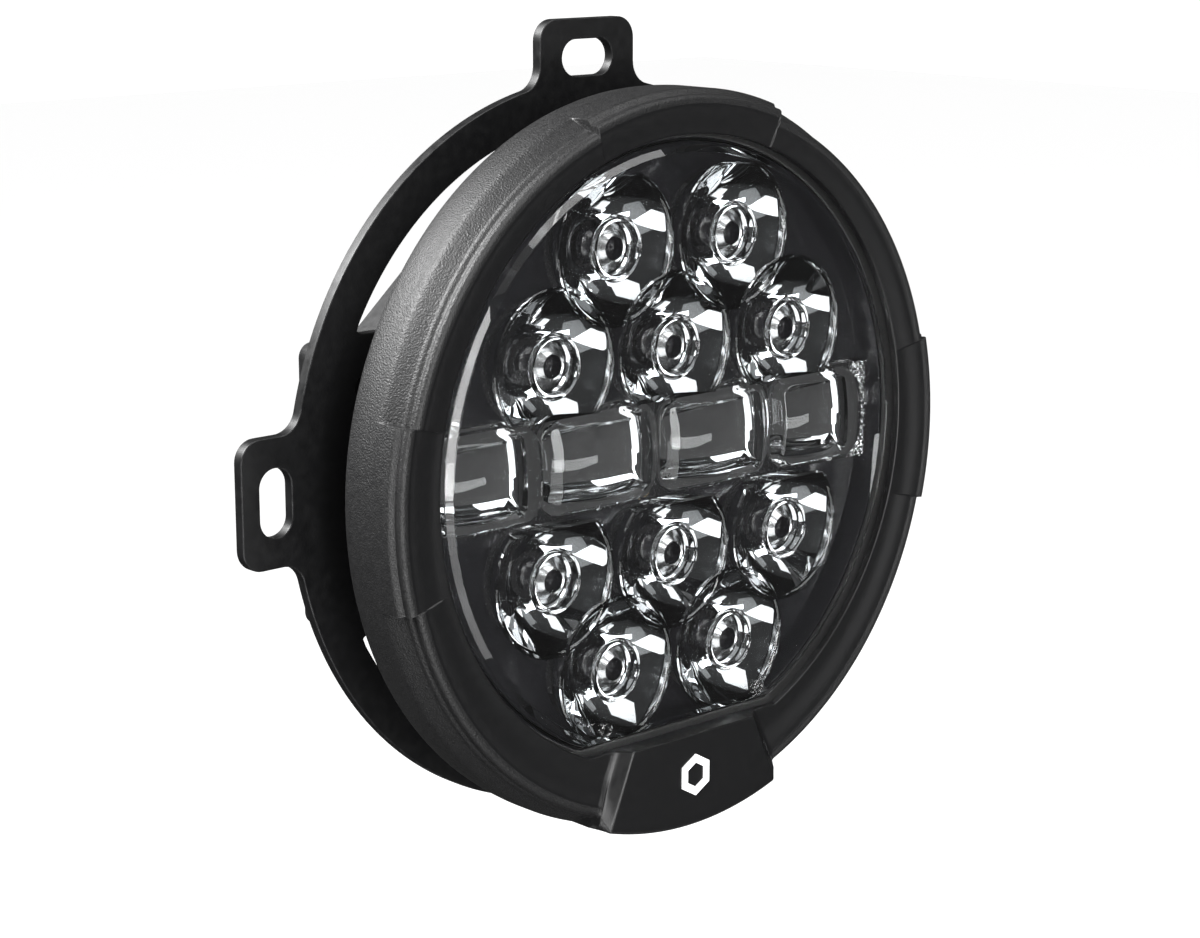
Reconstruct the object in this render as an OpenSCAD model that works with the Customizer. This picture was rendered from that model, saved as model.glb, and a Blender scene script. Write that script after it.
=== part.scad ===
// Round LED fog light on a flat slotted mounting plate, with vertical aim on two side pivots.
// The frame: X to the right, Y to the rear, Z up, light towards -Y.
// The origin is on the lamp axis, at the rear (seating) face of the mounting plate.

/* [Mounting plate] */
// Diameter of the plate's ring
plate_d = 156; // [154:1:164]
// Thickness of the sheet metal
plate_t = 2.5; // [2:0.5:3]
// Distance from the lamp axis to the end of each tab
tab_reach = 90.5; // [89:0.5:98]
// Width of each tab
tab_w = 26.4; // [24:0.4:30]
// End-to-end length of the slot in each tab
slot_l = 14; // [11:0.5:16]
// Width of the slot in each tab
slot_w = 7.6; // [5.4:0.2:8]
// Distance from the lamp axis to the middle of each slot
slot_at = 82.4; // [82:0.2:86]

/* [Bezel] */
// Diameter of the bezel's front edge between its pads
bezel_d = 151; // [150:0.5:152]
// How far the four pads stand out at the front edge
pad_h = 2.2; // [1.6:0.1:2.6]
// Depth of the bezel from its front face to the rear edge of its wall
bezel_depth = 16.5; // [15.5:0.5:16.5]
// How far the badge block stands forward of the bezel's front face
badge_h = 2; // [1:0.5:4]

/* [Optics] */
// Distance between neighbouring cups in one row
cup_pitch = 33.4; // [33:0.1:34]
// Distance between two rows of cups
row_pitch = 22; // [21.5:0.1:22.5]
// Radius of a cup at its rim
cup_r = 16; // [15:0.25:16.25]
// Height of the clear bar across the middle
bar_h = 21.6; // [20:0.2:22]

/* [Aim] */
// Diameter of the shoulder of each pivot bolt
pivot_d = 8; // [6:0.5:9]
// Tilt of the lamp as drawn, in degrees
tilt = 0; // [-8:1:8]

/* [Hidden] */
$fn = 96;

// Depths along the lamp axis are measured forward from the plate's rear face.
bezel_front = 34;
bezel_back = bezel_front - bezel_depth;
bezel_r = bezel_d / 2;
pad_r = bezel_r + pad_h;
bezel_wall = 2.5;
skirt_r = bezel_r - bezel_wall;
bead_r = 1.2;
ring_slope = 0.9;
// Behind this depth the wall between the pads stands as far out as they do.
taper_f = 26;
pad_half_angle = [20, 14];

// The lens, its opening and the optics sit a little above the bezel's centre, over the badge.
optic_lift = 2.5;
lens_r = 68;
lens_flat = -59.5;
lens_t = 3;
lens_raise = 1;
lens_step = 5;
lip_t = 2.5;
lens_front = bezel_front - lip_t;
lens_back = lens_front - lens_t;
lip_overlap = 2;
gasket_t = 1.5;
gasket_w = 2.8;
rim_f = lens_back - gasket_t;

floor_f = 10.5;
pad_t = 0.5;
board_t = 1.6;
board_r = 56;
board_back = floor_f + pad_t;
board_front = board_back + board_t;
optic_front = lens_back - 0.2;
optic_depth = optic_front - board_front;
cup_base_r = 5;
led_pocket_r = 3.4;
well_r = 5.4;
well_depth = 7;
dome_r = 5.1;
dome_h = 2.2;

trim_f = 19;
trim_t = 1.5;
trim_hole_r = 12.9;
trim_wall_inset = lip_overlap + 1.1;

// Cup centres of the upper array, measured from the optic centre; the lower array mirrors them.
upper_cups = [
    for (x = [-0.5, 0.5]) [x * cup_pitch, 2 * row_pitch],
    for (x = [-1, 0, 1]) [x * cup_pitch, row_pitch]
];
bar_cells = [for (x = [-1.5, -0.5, 0.5, 1.5]) [x * cup_pitch, 0]];
led_places = concat(upper_cups, [for (c = upper_cups) [c[0], -c[1]]], bar_cells);
board_screw_places = [[0, 40], [0, -40], [46, 16], [46, -16], [-46, 16], [-46, -16]];

bowl_r = lens_r + 0.7;
bowl_shoulder_f = 18;
bowl_base_r = 60.5;
bowl_back = 7;
flange_t = 3;
flange_f = bowl_shoulder_f;
flange_r = skirt_r - 0.6;
bezel_screw_at = 73.6;
ear_r = 2.7;
insert_l = 6;
insert_r = 2;
neck_r = 47;
core_r = 31;
fin_count = 36;
fin_t = 1.8;
neck_back = -24;
driver_r = 27;
driver_top = 3;
cover_screw_at = 33;
cover_lobe_r = 4.6;
cover_t = 3;
cover_back = neck_back - cover_t;

pivot_f = -12;
pivot_r = pivot_d / 2;
bush_r = pivot_r + 1;
boss_x = 50.8;
washer_t = 1.2;
washer_gap = 0.05;
bush_flange_t = 0.95;
cheek_in = boss_x + washer_t + 2 * washer_gap + bush_flange_t;
cheek_t = 7;
cheek_out = cheek_in + cheek_t;
cheek_r = 9.4;
bracket_t = 6;
bracket_x = 70;
bracket_z = 29;
bracket_in_r = 52;
gusset = [40, 44];
bracket_screw = [60, 20];
land_x = 54;
land_z = 31;
window_r = 69.5;

driver_board_f = -8;
driver_board_t = 1.6;
driver_board_back = driver_board_f - driver_board_t;
feed_pin_at = [3, -8];

gland_at = -13;
vent_at = 14;
gland_bore_r = 3;

quarter_turns = [0, 90, 180, 270];
diagonals = [45, 135, 225, 315];

// Turns a shape drawn in front view (X right, Y up, Z forward) into the part's frame.
module facing() {
    rotate([90, 0, 0]) children();
}

// Everything that rides on the pivots.
module lamp_side() {
    translate([0, -pivot_f, 0]) rotate([tilt, 0, 0]) translate([0, pivot_f, 0]) facing() children();
}

// A straight round bar between two depths.
module rod(r, from, to) {
    translate([0, 0, min(from, to)]) cylinder(r = r, h = abs(to - from));
}

module tube(r_out, r_in, from, to) {
    difference() {
        rod(r_out, from, to);
        rod(r_in, min(from, to) - 1, max(from, to) + 1);
    }
}

// A round bar along X, on the pivot axis.
module cross_rod(r, from, to) {
    translate([from, 0, pivot_f]) rotate([0, 90, 0]) cylinder(r = r, h = to - from);
}

module both_sides() {
    children();
    mirror([1, 0, 0]) children();
}

module at_places(places) {
    for (p = places) translate([p[0], p[1], 0]) children();
}

// Outline of everything that follows the lens: a circle with its bottom cut flat.
module lens_outline(inset) {
    intersection() {
        translate([0, optic_lift]) circle(r = lens_r - inset);
        translate([-lens_r, lens_flat + inset]) square([2 * lens_r, 2 * lens_r + optic_lift]);
    }
}

module sector(half_angle, reach) {
    side = reach * tan(half_angle);
    polygon([[0, 0], [reach, -side], [reach, side]]);
}

// ---- Mounting plate and brackets ----

module rounded_bar(length, width, r) {
    for (x = [r, length - r]) {
        for (y = [-width / 2 + r, width / 2 - r]) translate([x, y]) circle(r = r);
    }
    translate([0, -width / 2 + r]) square([length, width - 2 * r]);
    translate([r, -width / 2]) square([length - 2 * r, width]);
}

// A concave fillet where a straight tab side meets the ring. It bites in by a hair, so that no
// edge only grazes another.
module tab_root(r) {
    bite = 0.03;
    ring_r = plate_d / 2;
    y = tab_w / 2 + r - bite;
    x = sqrt(pow(ring_r + r - bite, 2) - y * y);
    inner = ring_r - 3;
    difference() {
        polygon([[inner, tab_w / 2 - 1], [x, tab_w / 2 - 1], [x, y], [x, y] * inner / (ring_r + r)]);
        translate([x, y]) circle(r = r);
    }
}

module tab() {
    rounded_bar(tab_reach, tab_w, 4.5);
    tab_root(5);
    mirror([0, 1]) tab_root(5);
}

module slot() {
    half = (slot_l - slot_w) / 2;
    for (y = [-half, half]) translate([slot_at, y]) circle(d = slot_w);
    translate([slot_at - slot_w / 2, -half]) square([slot_w, 2 * half]);
}

// The land that runs in under the bezel at each side and carries a bracket.
module land() {
    difference() {
        translate([land_x, -land_z]) square([plate_d / 2 - land_x, 2 * land_z]);
        for (y = [-1, 1]) translate([bracket_screw[0], y * bracket_screw[1]]) circle(r = 2.5);
    }
}

module mounting_plate() {
    color("#1c1c1e") facing() linear_extrude(plate_t) difference() {
        union() {
            difference() {
                circle(d = plate_d);
                circle(r = window_r);
            }
            for (a = [0, 90, 180]) rotate(a) difference() {
                tab();
                circle(r = window_r + 2);
            }
            for (side = [0, 180]) rotate(side) intersection() {
                land();
                circle(r = plate_d / 2 - 2);
            }
        }
        for (a = [0, 90, 180]) rotate(a) slot();
    }
}

module bracket_outline() {
    difference() {
        union() {
            polygon([
                [gusset[0] * 0.8, -gusset[1] * 0.8], [gusset[0], -gusset[1]], [bracket_x - 13, -bracket_z],
                [bracket_x - 3, -bracket_z], [bracket_x, -bracket_z + 3], [bracket_x, bracket_z - 3],
                [bracket_x - 3, bracket_z], [bracket_x - 13, bracket_z], gusset, gusset * 0.8
            ]);
            for (y = [-1, 1]) translate([bracket_x - 3, y * (bracket_z - 3)]) circle(r = 3);
        }
        circle(r = bracket_in_r);
    }
}

// Drawn at the right side; a cheek behind the flange carries the pivot.
module bracket() {
    color("#2b2b2d") facing() difference() {
        union() {
            translate([0, 0, -bracket_t]) linear_extrude(bracket_t) bracket_outline();
            cross_rod(cheek_r, cheek_in, cheek_out);
            translate([cheek_in, -cheek_r, pivot_f]) cube([cheek_t, 2 * cheek_r, -pivot_f - 1]);
        }
        cross_rod(bush_r, cheek_in - 1, cheek_out + 1);
        for (y = [-1, 1]) translate([bracket_screw[0], y * bracket_screw[1], 0]) rod(2.7, -bracket_t - 1, 1);
    }
}

module right_bracket() {
    bracket();
}

module left_bracket() {
    mirror([1, 0, 0]) bracket();
}

// A pan-head screw whose head bears at depth seat, with its shank reaching forward by length.
module pan_screw(head_r, head_h, r, seat, length) {
    difference() {
        union() {
            rod(head_r, seat - head_h, seat);
            rod(r, seat - 0.01, seat + length);
        }
        translate([0, 0, seat - head_h - 0.01]) cylinder(r = head_r * 0.5, h = head_h * 0.6, $fn = 6);
    }
}

module bracket_screws() {
    color("silver") facing() for (x = [-1, 1]) {
        for (y = [-1, 1]) translate([x * bracket_screw[0], y * bracket_screw[1], 0])
            pan_screw(4.2, 2.8, 2.5, -bracket_t, bracket_t + plate_t - 0.3);
    }
}

module pivot_bushes() {
    color("wheat") facing() both_sides() difference() {
        union() {
            cross_rod(bush_r, cheek_in - 0.01, cheek_out);
            cross_rod(bush_r + 0.9, cheek_in - bush_flange_t, cheek_in);
        }
        cross_rod(pivot_r + 0.05, boss_x, cheek_out + 1);
    }
}

// ---- Pivot fasteners, which turn with the lamp ----

head_x = cheek_out + washer_gap + washer_t;

module pivot_bolts() {
    color("silver") lamp_side() both_sides() difference() {
        union() {
            cross_rod(5.5, head_x, head_x + 4);
            cross_rod(pivot_r, boss_x, head_x + 0.01);
            cross_rod(3, boss_x - 10, boss_x + 0.01);
        }
        translate([head_x + 1.6, 0, pivot_f]) rotate([0, 90, 0]) cylinder(r = 2.9, h = 3, $fn = 6);
    }
}

module pivot_washer(from, r_out) {
    difference() {
        cross_rod(r_out, from, from + washer_t);
        cross_rod(pivot_r + 0.02, from - 1, from + washer_t + 1);
    }
}

module friction_washers() {
    color("goldenrod") lamp_side() both_sides() pivot_washer(boss_x, bush_r + 0.8);
}

module head_washers() {
    color("silver") lamp_side() both_sides() pivot_washer(cheek_out + washer_gap, 5.8);
}

// ---- Bezel ----

// The bezel's solid of revolution. Its wall comes in to radius r at the rounded front edge and its groove.
module bezel_blank(r) {
    groove_f = bezel_front - 3.3;
    rotate_extrude() difference() {
        union() {
            polygon([
                [0, bezel_back], [pad_r - 0.6, bezel_back], [pad_r, bezel_back + 4], [pad_r, taper_f],
                [r, groove_f], [r, bezel_front - bead_r], [r - bead_r, bezel_front],
                [r - bead_r - 6, bezel_front - ring_slope], [0, bezel_front - ring_slope]
            ]);
            translate([r - bead_r, bezel_front - bead_r]) circle(r = bead_r);
        }
        translate([r + 0.15, groove_f]) circle(r = 0.6);
    }
}

module bezel_pad(angle, half_angle) {
    intersection() {
        bezel_blank(pad_r);
        rotate(angle) linear_extrude(bezel_front + 1) sector(half_angle, pad_r / cos(half_angle) + 1);
    }
}

// The block under the lens: a sloped front face with flared sides.
module badge_block() {
    top = lens_flat + lip_overlap;
    intersection() {
        hull() {
            translate([0, 0, bezel_front + badge_h - 0.5]) linear_extrude(0.5)
                polygon([[-17.7, top], [17.7, top], [27, -80], [-27, -80]]);
            translate([0, 0, lens_front]) linear_extrude(0.5)
                polygon([[-22, top], [22, top], [31, -80], [-31, -80]]);
        }
        rod(pad_r, 0, bezel_front + badge_h + 1);
    }
}

module bezel() {
    color("#2a2a2c") lamp_side() difference() {
        union() {
            bezel_blank(bezel_r);
            for (a = quarter_turns) bezel_pad(a, pad_half_angle[a % 180 == 90 ? 0 : 1]);
            badge_block();
        }
        difference() {
            rod(skirt_r, bezel_back - 1, lens_front);
            for (a = quarter_turns) rotate(a) translate([bezel_screw_at, 0, 0])
                rod(ear_r + 0.2, flange_f + flange_t, lens_back - 0.5);
        }
        for (a = quarter_turns) rotate(a) translate([bezel_screw_at, 0, 0]) {
            rod(ear_r + 0.3, bezel_back - 1, flange_f + flange_t);
            rod(insert_r, flange_f + flange_t - 1, flange_f + flange_t + insert_l);
        }
        translate([0, 0, lens_front - 1]) linear_extrude(bezel_front) lens_outline(lip_overlap);
    }
}

// A plain white six-sided ring set on the badge face.
module emblem() {
    face = bezel_front + badge_h;
    color("white") lamp_side() translate([0, -66.5, face]) linear_extrude(0.3) difference() {
        rotate(30) circle(r = 4.6, $fn = 6);
        rotate(30) circle(r = 2.7, $fn = 6);
    }
}

module bezel_inserts() {
    color("gold") lamp_side() for (a = quarter_turns) rotate(a) translate([bezel_screw_at, 0, 0])
        tube(insert_r, 1.5, flange_f + flange_t, flange_f + flange_t + insert_l);
}

module bezel_screws() {
    color("silver") lamp_side() for (a = quarter_turns) rotate(a) translate([bezel_screw_at, 0, 0])
        pan_screw(2.3, 2, 1.5, flange_f, flange_t + insert_l - 0.5);
}

// ---- Lens and optics ----

// The middle of the lens stands forward into the bezel's opening.
module outer_lens() {
    color("lightcyan", 0.4) lamp_side() translate([0, 0, lens_back]) {
        linear_extrude(lens_t) lens_outline(0);
        linear_extrude(lens_t + lens_raise) lens_outline(lens_step);
    }
}

module lens_gasket() {
    color("#101010") lamp_side() translate([0, 0, rim_f]) linear_extrude(gasket_t) difference() {
        lens_outline(0);
        lens_outline(gasket_w);
    }
}

module inner_trim() {
    color("#151517") lamp_side() difference() {
        translate([0, 0, trim_f]) linear_extrude(rim_f - trim_f - 0.2) lens_outline(lip_overlap);
        translate([0, 0, trim_f + trim_t]) linear_extrude(lens_back) lens_outline(trim_wall_inset);
        translate([0, optic_lift, 0]) {
            at_places(upper_cups) rod(trim_hole_r, trim_f - 1, lens_back);
            mirror([0, 1, 0]) at_places(upper_cups) rod(trim_hole_r, trim_f - 1, lens_back);
            translate([-63.8, -bar_h / 2 - 0.3, trim_f - 1]) cube([127.6, bar_h + 0.6, lens_back]);
        }
    }
}

// Radius of a cup's reflecting flank at share t of its height.
function cup_flank(t) = cup_base_r + (cup_r - cup_base_r) * pow(t, 0.62);

module cup() {
    steps = 4;
    rotate_extrude() polygon(concat(
        [[0, board_front]],
        [for (i = [0:steps]) [cup_flank(i / steps), board_front + optic_depth * i / steps]],
        [[0, optic_front]]
    ));
}

// The well in the middle of a cup, with a domed lens standing up from its floor.
module well() {
    ball_r = (dome_r * dome_r + dome_h * dome_h) / (2 * dome_h);
    difference() {
        rod(well_r, optic_front - well_depth, optic_front + 1);
        translate([0, 0, optic_front - well_depth + dome_h - ball_r]) sphere(r = ball_r);
    }
}

// Both arrays stop where the flat bottom of the lens needs the lower one to stop.
module optic_array() {
    array_top = optic_lift - lens_flat - trim_wall_inset - 0.3 - bar_h / 2 - 0.4;
    color("white", 0.5) difference() {
        intersection() {
            union() at_places(upper_cups) cup();
            translate([-cup_pitch * 2, bar_h / 2 + 0.4, 0]) cube([cup_pitch * 4, array_top, optic_front + 1]);
        }
        at_places(upper_cups) {
            rod(led_pocket_r, board_front - 1, board_front + 2.4);
            well();
        }
    }
}

module upper_optic_array() {
    lamp_side() translate([0, optic_lift, 0]) optic_array();
}

module lower_optic_array() {
    lamp_side() translate([0, optic_lift, 0]) mirror([0, 1, 0]) optic_array();
}

module centre_optic_bar() {
    half = 63.4;
    base_top = optic_front - 3.4;
    pillow = [27, bar_h - 1.6];
    pillow_r = 30;
    color("white", 0.5) lamp_side() translate([0, optic_lift, 0]) difference() {
        union() {
            intersection() {
                translate([-half, -bar_h / 2, board_front]) cube([2 * half, bar_h, base_top - board_front]);
                translate([0, 0, board_front]) union() {
                    cylinder(r1 = board_r + 2, r2 = half + 1, h = 6);
                    translate([0, 0, 6]) cylinder(r = half + 1, h = optic_depth);
                }
            }
            at_places(bar_cells) intersection() {
                translate([-pillow[0] / 2, -pillow[1] / 2, base_top - 0.5]) cube([pillow[0], pillow[1], 4]);
                translate([0, 0, optic_front - pillow_r]) sphere(r = pillow_r);
            }
        }
        at_places(bar_cells) rod(led_pocket_r, board_front - 1, board_front + 2.4);
    }
}

// ---- LED board ----

module led_board() {
    color("#1a1a1c") lamp_side() translate([0, optic_lift, 0]) difference() {
        rod(board_r, board_back, board_front);
        at_places(board_screw_places) rod(1.6, board_back - 1, board_front + 1);
        translate([0, -optic_lift, 0]) feed_places() rod(0.8, board_back - 1, board_front + 1);
    }
}

module feed_places() {
    for (x = [-1, 1]) translate([x * feed_pin_at[0], feed_pin_at[1], 0]) children();
}

module led_packages() {
    side = 3.5;
    color("white") lamp_side() translate([0, optic_lift, 0]) at_places(led_places)
        translate([-side / 2, -side / 2, board_front]) cube([side, side, 0.8]);
}

module led_domes() {
    color("khaki") lamp_side() translate([0, optic_lift, board_front + 0.8]) at_places(led_places) intersection() {
        sphere(r = 1.4);
        translate([-2, -2, 0]) cube([4, 4, 2]);
    }
}

module thermal_pad() {
    color("lightgrey") lamp_side() difference() {
        translate([0, optic_lift, 0]) difference() {
            rod(board_r, floor_f, board_back);
            at_places(board_screw_places) rod(2.4, floor_f - 1, board_back + 1);
        }
        feed_places() rod(1.6, floor_f - 1, board_back + 1);
    }
}

module board_screws() {
    color("silver") lamp_side() translate([0, optic_lift, board_front]) mirror([0, 0, 1])
        at_places(board_screw_places) pan_screw(2.6, 1.8, 1.4, 0, 5);
}

// ---- Housing ----

module fins() {
    for (i = [0:fin_count - 1]) rotate((i + 0.5) * 360 / fin_count)
        translate([core_r - 1, -fin_t / 2, neck_back + 3]) cube([neck_r - core_r + 1, fin_t, bowl_back - neck_back - 2]);
}

module bowl() {
    translate([0, optic_lift, 0]) {
        rod(bowl_r, bowl_shoulder_f, rim_f);
        translate([0, 0, 9]) cylinder(r1 = bowl_base_r, r2 = bowl_r, h = bowl_shoulder_f - 9);
        translate([0, 0, bowl_back]) cylinder(r1 = bowl_base_r - 2, r2 = bowl_base_r, h = 9 - bowl_back);
    }
}

module bowl_cavity() {
    intersection() {
        translate([0, 0, floor_f]) linear_extrude(rim_f) lens_outline(lip_overlap - 0.2);
        translate([0, optic_lift, floor_f]) union() {
            cylinder(r1 = board_r + 1.6, r2 = lens_r, h = 10);
            translate([0, 0, 10]) cylinder(r = lens_r, h = rim_f);
        }
    }
}

// Outline of the round neck behind the bowl and of its cover: a disc with four screw lobes.
module neck_outline() {
    circle(r = core_r);
    for (a = diagonals) rotate(a) translate([cover_screw_at, 0]) circle(r = cover_lobe_r);
}

module housing() {
    color("#2b2b2d") lamp_side() difference() {
        union() {
            bowl();
            rod(flange_r, flange_f, flange_f + flange_t);
            for (a = quarter_turns) rotate(a) translate([bezel_screw_at, 0, 0])
                rod(ear_r, flange_f, flange_f + flange_t);
            translate([0, 0, neck_back]) linear_extrude(bowl_back + 1 - neck_back) neck_outline();
            fins();
            both_sides() cross_rod(9, core_r - 2, boss_x);
        }
        bowl_cavity();
        difference() {
            rod(driver_r, neck_back - 1, driver_top);
            for (a = [90, 210, 330]) rotate(a) translate([20, 0, 0]) rod(3, driver_board_f, driver_top + 1);
        }
        for (a = [90, 210, 330]) rotate(a) translate([20, 0, 0]) rod(1.2, driver_board_f - 1, driver_board_f + 6);
        for (a = quarter_turns) rotate(a) translate([bezel_screw_at, 0, 0]) {
            rod(1.6, flange_f - 1, flange_f + flange_t + 1);
            rod(ear_r + 0.5, flange_f + flange_t, rim_f + 1);
        }
        for (a = diagonals) rotate(a) translate([cover_screw_at, 0, 0]) rod(1.5, neck_back - 1, neck_back + 8);
        feed_places() rod(1.6, driver_top - 1, floor_f + 1);
        translate([0, optic_lift, 0]) at_places(board_screw_places) rod(1.4, board_front - 5, floor_f + 1);
        both_sides() cross_rod(3, boss_x - 11, boss_x + 1);
        tube(29.8, 28.2, neck_back - 1, neck_back + 1.2);
    }
}

// ---- Driver, behind the housing's floor ----

module driver_board() {
    color("darkgreen") lamp_side() difference() {
        rod(25.5, driver_board_back, driver_board_f);
        for (a = [90, 210, 330]) rotate(a) translate([20, 0, 0]) rod(1.4, driver_board_back - 1, driver_board_f + 1);
        feed_places() rod(0.8, driver_board_back - 1, driver_board_f + 1);
    }
}

module driver_screws() {
    color("silver") lamp_side() for (a = [90, 210, 330]) rotate(a) translate([20, 0, 0])
        pan_screw(2.3, 1.6, 1.2, driver_board_back, 6.4);
}

module inductor() {
    color("#4a4a4a") lamp_side() translate([10, 4, 0]) {
        rod(6, driver_board_back - 2, driver_board_back);
        rod(4, driver_board_back - 7, driver_board_back - 2);
        rod(6, driver_board_back - 9, driver_board_back - 7);
    }
}

module capacitors() {
    color("#2f3f6b") lamp_side() for (y = [-2, 7.5]) translate([-11, y, 0]) rod(4, driver_board_back - 10, driver_board_back);
}

module driver_chips() {
    color("#181818") lamp_side() for (x = [-6, 6]) translate([x - 2.5, -17, driver_board_back - 1.6]) cube([5, 6, 1.6]);
}

module board_header() {
    color("ivory") lamp_side() translate([-4.5, 9, driver_board_back - 6]) difference() {
        cube([9, 5, 6]);
        for (x = [1, 5]) translate([x, 1, -1]) cube([3, 3, 4]);
    }
}

module feed_pins() {
    color("orange") lamp_side() feed_places() rod(0.7, driver_board_back - 1, board_front - 0.1);
}

// ---- Rear cover ----

module cover_gasket() {
    color("#101010") lamp_side() tube(29.7, 28.3, neck_back, neck_back + 1.2);
}

module rear_cover() {
    color("#2b2b2d") lamp_side() difference() {
        translate([0, 0, cover_back]) linear_extrude(cover_t) neck_outline();
        for (a = diagonals) rotate(a) translate([cover_screw_at, 0, 0]) rod(1.7, cover_back - 1, neck_back + 1);
        translate([0, gland_at, 0]) rod(6, cover_back - 1, neck_back + 1);
        translate([0, vent_at, 0]) rod(3.5, cover_back - 1, neck_back + 1);
    }
}

module cover_screws() {
    color("silver") lamp_side() for (a = diagonals) rotate(a) translate([cover_screw_at, 0, 0])
        pan_screw(2.8, 2, 1.5, cover_back, cover_t + 7);
}

module vent_plug() {
    color("#202022") lamp_side() translate([0, vent_at, 0]) {
        difference() {
            rod(6.5, cover_back - 3, cover_back);
            for (a = quarter_turns) rotate(a) translate([4, -0.6, cover_back - 3.1]) cube([4, 1.2, 1.2]);
        }
        rod(3.5, cover_back - 0.01, neck_back + 1);
    }
}

// ---- Cable gland, empty: its cable isn't part of this model ----

gland_hex_r = 9.2;
gland_mouth = cover_back - 11;

module cable_gland() {
    color("#18181a") lamp_side() translate([0, gland_at, 0]) difference() {
        union() {
            translate([0, 0, cover_back - 4]) cylinder(r = gland_hex_r, h = 4, $fn = 6);
            rod(6.5, gland_mouth + 1, cover_back - 3.9);
            rod(6, cover_back - 0.1, neck_back + 4);
        }
        rod(4, cover_back - 5, neck_back + 5);
        rod(5, gland_mouth - 1, cover_back - 4);
    }
}

module gland_locknut() {
    color("silver") lamp_side() translate([0, gland_at, neck_back]) difference() {
        cylinder(r = 8.6, h = 3, $fn = 6);
        rod(6, -1, 4);
    }
}

module gland_seal() {
    color("#3a3a3a") lamp_side() translate([0, gland_at, 0]) tube(5, gland_bore_r, gland_mouth, cover_back - 4);
}

module gland_nut() {
    color("#18181a") lamp_side() translate([0, gland_at, 0]) difference() {
        translate([0, 0, gland_mouth - 2]) cylinder(r = 8.6, h = 8, $fn = 6);
        rod(6.5, gland_mouth, cover_back);
        rod(gland_bore_r + 0.6, gland_mouth - 3, gland_mouth + 1);
    }
}

mounting_plate();
left_bracket();
right_bracket();
bracket_screws();
pivot_bushes();
pivot_bolts();
friction_washers();
head_washers();
bezel();
emblem();
bezel_inserts();
bezel_screws();
outer_lens();
lens_gasket();
inner_trim();
upper_optic_array();
lower_optic_array();
centre_optic_bar();
led_board();
led_packages();
led_domes();
thermal_pad();
board_screws();
housing();
driver_board();
driver_screws();
inductor();
capacitors();
driver_chips();
board_header();
feed_pins();
cover_gasket();
rear_cover();
cover_screws();
vent_plug();
cable_gland();
gland_locknut();
gland_seal();
gland_nut();
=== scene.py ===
import math

import bmesh
import bpy
from mathutils import Matrix, Vector

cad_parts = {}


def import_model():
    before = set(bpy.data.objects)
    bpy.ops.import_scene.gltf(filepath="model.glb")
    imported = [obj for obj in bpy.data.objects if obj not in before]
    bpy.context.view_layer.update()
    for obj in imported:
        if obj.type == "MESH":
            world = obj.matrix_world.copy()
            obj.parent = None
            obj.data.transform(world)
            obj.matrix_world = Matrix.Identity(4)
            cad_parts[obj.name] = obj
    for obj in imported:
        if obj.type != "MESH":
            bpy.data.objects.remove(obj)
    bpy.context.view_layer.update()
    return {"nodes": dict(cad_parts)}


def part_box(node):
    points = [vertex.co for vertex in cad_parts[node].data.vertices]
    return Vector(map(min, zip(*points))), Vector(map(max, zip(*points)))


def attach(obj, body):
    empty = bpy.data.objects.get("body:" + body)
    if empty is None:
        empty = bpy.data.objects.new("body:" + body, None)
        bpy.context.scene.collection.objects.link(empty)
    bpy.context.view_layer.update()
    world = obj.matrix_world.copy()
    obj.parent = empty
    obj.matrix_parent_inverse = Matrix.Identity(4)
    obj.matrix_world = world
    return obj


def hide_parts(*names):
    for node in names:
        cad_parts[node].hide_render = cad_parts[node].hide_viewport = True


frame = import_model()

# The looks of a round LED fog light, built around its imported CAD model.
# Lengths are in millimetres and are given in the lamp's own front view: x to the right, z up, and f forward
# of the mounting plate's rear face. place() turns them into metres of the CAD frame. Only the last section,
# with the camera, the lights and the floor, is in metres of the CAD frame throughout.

MM = 0.001


def place(x, z, f):
    return Vector((x * MM, -f * MM, z * MM))


def front_box(node):
    """(x0, x1, z0, z1, f0, f1) of a CAD node in the lamp's front view, in millimetres."""
    low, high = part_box(node)
    return low.x / MM, high.x / MM, low.z / MM, high.z / MM, -high.y / MM, -low.y / MM


# ---- Sizes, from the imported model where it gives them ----

PLATE_REACH = front_box("mounting_plate")[1]
PLATE_R = -front_box("mounting_plate")[2]
PLATE_T = front_box("mounting_plate")[5]
WINDOW_R = 69.5
LAND = (54.0, 31.0)
TAB_HALF = 13.2
SLOT = (82.4, 3.8, 3.2)  # distance from the axis, half width, half length between the round ends' centres
BRACKET_SCREW = (60.0, 20.0)

PAD_R = front_box("bezel")[1]
BEZEL_BACK, BADGE_F = front_box("bezel")[4:]
BEZEL_R = PAD_R - 2.2
RING_F = BADGE_F - 2.0
LENS_BACK, LENS_TOP = front_box("outer_lens")[4:]
LENS_R = (front_box("outer_lens")[1] - front_box("outer_lens")[0]) / 2
LENS_FLAT = front_box("outer_lens")[2]
OPTIC_LIFT = front_box("outer_lens")[3] - LENS_R
LIP_F = RING_F - 2.5
LENS_STEP = 5.0
OPENING = 2.0  # inset of the bezel's opening from the lens outline

OPTIC_BASE, OPTIC_FRONT = front_box("upper_optic_array")[4:]
BAR_X = front_box("centre_optic_bar")[1]
BAR_HALF = (front_box("centre_optic_bar")[3] - front_box("centre_optic_bar")[2]) / 2
CUP_PITCH, ROW_PITCH = 33.4, 22.0
CUP_R, CUP_BASE_R = 16.0, 5.0
# The upper array's cups. The lower array's are the same, turned down.
UPPER_CUPS = [(x * CUP_PITCH, 2 * ROW_PITCH) for x in (-0.5, 0.5)] + [
    (x * CUP_PITCH, ROW_PITCH) for x in (-1, 0, 1)
]
BAR_CELLS = [x * CUP_PITCH for x in (-1.5, -0.5, 0.5, 1.5)]


# ---- Materials ----


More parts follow.
